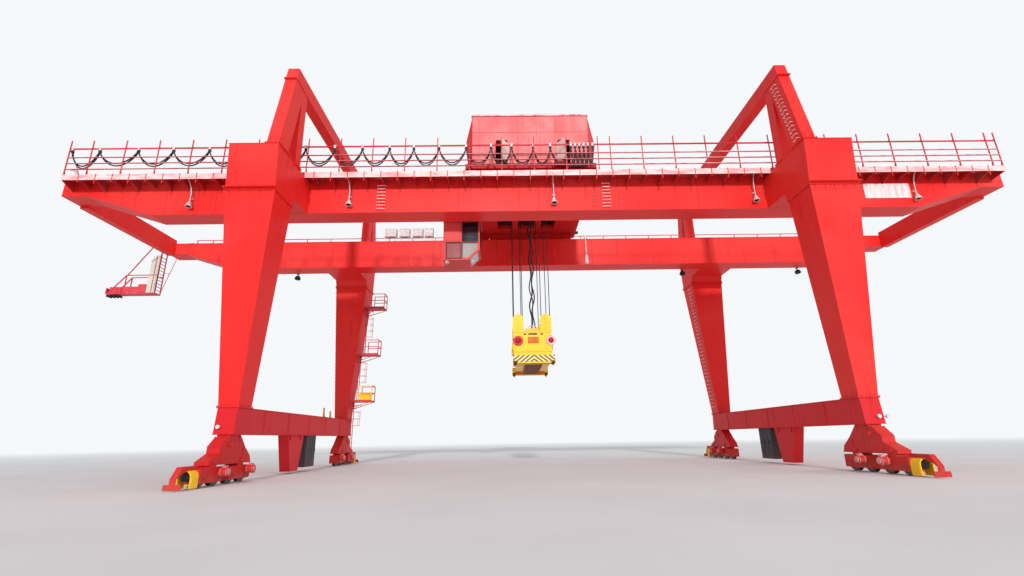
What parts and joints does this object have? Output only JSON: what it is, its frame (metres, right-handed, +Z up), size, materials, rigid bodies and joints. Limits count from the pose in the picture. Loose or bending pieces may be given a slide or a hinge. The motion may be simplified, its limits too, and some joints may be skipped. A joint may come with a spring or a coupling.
{
  "type": "rail-mounted container gantry crane, 1:2 scale model",
  "caption": "Double-girder gantry crane on sill beams and ground wheels, with cantilevers, saddle frames, a travelling trolley, cab and container spreader",
  "frame": {"origin": "On the floor, midway between the four corner wheel sets", "axes": "X along the girders and the trolley's travel, Y along the ground rails, Z up"},
  "size_m": [30.25, 11.99, 11.17],
  "materials": {
    "red_paint": "semi-gloss red structural paint",
    "house_red": "satin red paint on sheet steel",
    "walkway_red": "matt red paint",
    "railing_red": "semi-gloss red paint",
    "yellow_paint": "semi-gloss yellow paint",
    "wheel_steel": "worn rolled steel",
    "rail_steel": "worn rail steel",
    "cable_black": "black rubber sheath",
    "cabinet_grey": "dark grey paint",
    "door_beige": "satin beige paint",
    "cab_glass": "tinted glass",
    "rope_steel": "greased wire rope"
  },
  "bodies": {
    "portal": {"front_girder": "red_paint", "rear_girder": "red_paint", "end_ties": "red_paint", "front_left_leg": "red_paint", "front_right_leg": "red_paint", "rear_left_leg": "red_paint", "rear_right_leg": "red_paint", "front_left_head": "red_paint", "front_right_head": "red_paint", "rear_left_head": "red_paint", "rear_right_head": "red_paint", "left_sill": "red_paint", "right_sill": "red_paint", "left_saddle": "red_paint", "right_saddle": "red_paint", "left_equalisers": "red_paint", "right_equalisers": "red_paint", "left_bogies": "red_paint", "right_bogies": "red_paint", "buffers": "yellow_paint", "trolley_rails": "rail_steel", "front_walkway": "walkway_red", "rear_walkway": "walkway_red", "front_railing": "railing_red", "rear_railing": "railing_red", "festoon_track": "railing_red", "festoon_cable": "cable_black", "parking_anchors": "red_paint", "sill_cabinets": "cabinet_grey", "leg_platforms": "railing_red", "leg_ladders": "railing_red", "hanging_platform": "railing_red"},
    "trolley": {"trolley_frame": "red_paint", "trolley_wheels": "wheel_steel", "house_walls": "house_red", "house_roof": "house_red", "house_doors": "door_beige", "cab_shell": "red_paint", "cab_glass": "cab_glass", "hoist_ropes": "rope_steel"},
    "spreader": {"headblock": "yellow_paint", "spreader_beam": "yellow_paint", "spreader_ends": "yellow_paint"},
    "wheel_lf1_set": {"wheel_lf1": "wheel_steel"},
    "wheel_lf2_set": {"wheel_lf2": "wheel_steel"},
    "wheel_lf3_set": {"wheel_lf3": "wheel_steel"},
    "wheel_lf4_set": {"wheel_lf4": "wheel_steel"},
    "wheel_lr1_set": {"wheel_lr1": "wheel_steel"},
    "wheel_lr2_set": {"wheel_lr2": "wheel_steel"},
    "wheel_lr3_set": {"wheel_lr3": "wheel_steel"},
    "wheel_lr4_set": {"wheel_lr4": "wheel_steel"},
    "wheel_rf1_set": {"wheel_rf1": "wheel_steel"},
    "wheel_rf2_set": {"wheel_rf2": "wheel_steel"},
    "wheel_rf3_set": {"wheel_rf3": "wheel_steel"},
    "wheel_rf4_set": {"wheel_rf4": "wheel_steel"},
    "wheel_rr1_set": {"wheel_rr1": "wheel_steel"},
    "wheel_rr2_set": {"wheel_rr2": "wheel_steel"},
    "wheel_rr3_set": {"wheel_rr3": "wheel_steel"},
    "wheel_rr4_set": {"wheel_rr4": "wheel_steel"}
  },
  "joints": [
    {"name": "trolley_travel", "type": "slide", "parent": "portal", "child": "trolley", "axis": [1, 0, 0], "range_m": [-10, 11]},
    {"name": "hoist", "type": "slide", "parent": "trolley", "child": "spreader", "axis": [0, 0, 1], "range_m": [-2.5, 3.5], "deforming": ["hoist_ropes"]},
    {"name": "wheel_lf1_turn", "type": "hinge", "parent": "portal", "child": "wheel_lf1_set", "pos_m": [-7.5, -5.205, 0.17], "axis": [1, 0, 0], "continuous": true},
    {"name": "wheel_lf2_turn", "type": "hinge", "parent": "portal", "child": "wheel_lf2_set", "pos_m": [-7.5, -4.645, 0.17], "axis": [1, 0, 0], "continuous": true},
    {"name": "wheel_lf3_turn", "type": "hinge", "parent": "portal", "child": "wheel_lf3_set", "pos_m": [-7.5, -4.055, 0.17], "axis": [1, 0, 0], "continuous": true},
    {"name": "wheel_lf4_turn", "type": "hinge", "parent": "portal", "child": "wheel_lf4_set", "pos_m": [-7.5, -3.495, 0.17], "axis": [1, 0, 0], "continuous": true},
    {"name": "wheel_lr1_turn", "type": "hinge", "parent": "portal", "child": "wheel_lr1_set", "pos_m": [-7.5, 5.205, 0.17], "axis": [1, 0, 0], "continuous": true},
    {"name": "wheel_lr2_turn", "type": "hinge", "parent": "portal", "child": "wheel_lr2_set", "pos_m": [-7.5, 4.645, 0.17], "axis": [1, 0, 0], "continuous": true},
    {"name": "wheel_lr3_turn", "type": "hinge", "parent": "portal", "child": "wheel_lr3_set", "pos_m": [-7.5, 4.055, 0.17], "axis": [1, 0, 0], "continuous": true},
    {"name": "wheel_lr4_turn", "type": "hinge", "parent": "portal", "child": "wheel_lr4_set", "pos_m": [-7.5, 3.495, 0.17], "axis": [1, 0, 0], "continuous": true},
    {"name": "wheel_rf1_turn", "type": "hinge", "parent": "portal", "child": "wheel_rf1_set", "pos_m": [7.5, -5.205, 0.17], "axis": [1, 0, 0], "continuous": true},
    {"name": "wheel_rf2_turn", "type": "hinge", "parent": "portal", "child": "wheel_rf2_set", "pos_m": [7.5, -4.645, 0.17], "axis": [1, 0, 0], "continuous": true},
    {"name": "wheel_rf3_turn", "type": "hinge", "parent": "portal", "child": "wheel_rf3_set", "pos_m": [7.5, -4.055, 0.17], "axis": [1, 0, 0], "continuous": true},
    {"name": "wheel_rf4_turn", "type": "hinge", "parent": "portal", "child": "wheel_rf4_set", "pos_m": [7.5, -3.495, 0.17], "axis": [1, 0, 0], "continuous": true},
    {"name": "wheel_rr1_turn", "type": "hinge", "parent": "portal", "child": "wheel_rr1_set", "pos_m": [7.5, 5.205, 0.17], "axis": [1, 0, 0], "continuous": true},
    {"name": "wheel_rr2_turn", "type": "hinge", "parent": "portal", "child": "wheel_rr2_set", "pos_m": [7.5, 4.645, 0.17], "axis": [1, 0, 0], "continuous": true},
    {"name": "wheel_rr3_turn", "type": "hinge", "parent": "portal", "child": "wheel_rr3_set", "pos_m": [7.5, 4.055, 0.17], "axis": [1, 0, 0], "continuous": true},
    {"name": "wheel_rr4_turn", "type": "hinge", "parent": "portal", "child": "wheel_rr4_set", "pos_m": [7.5, 3.495, 0.17], "axis": [1, 0, 0], "continuous": true}
  ]
}
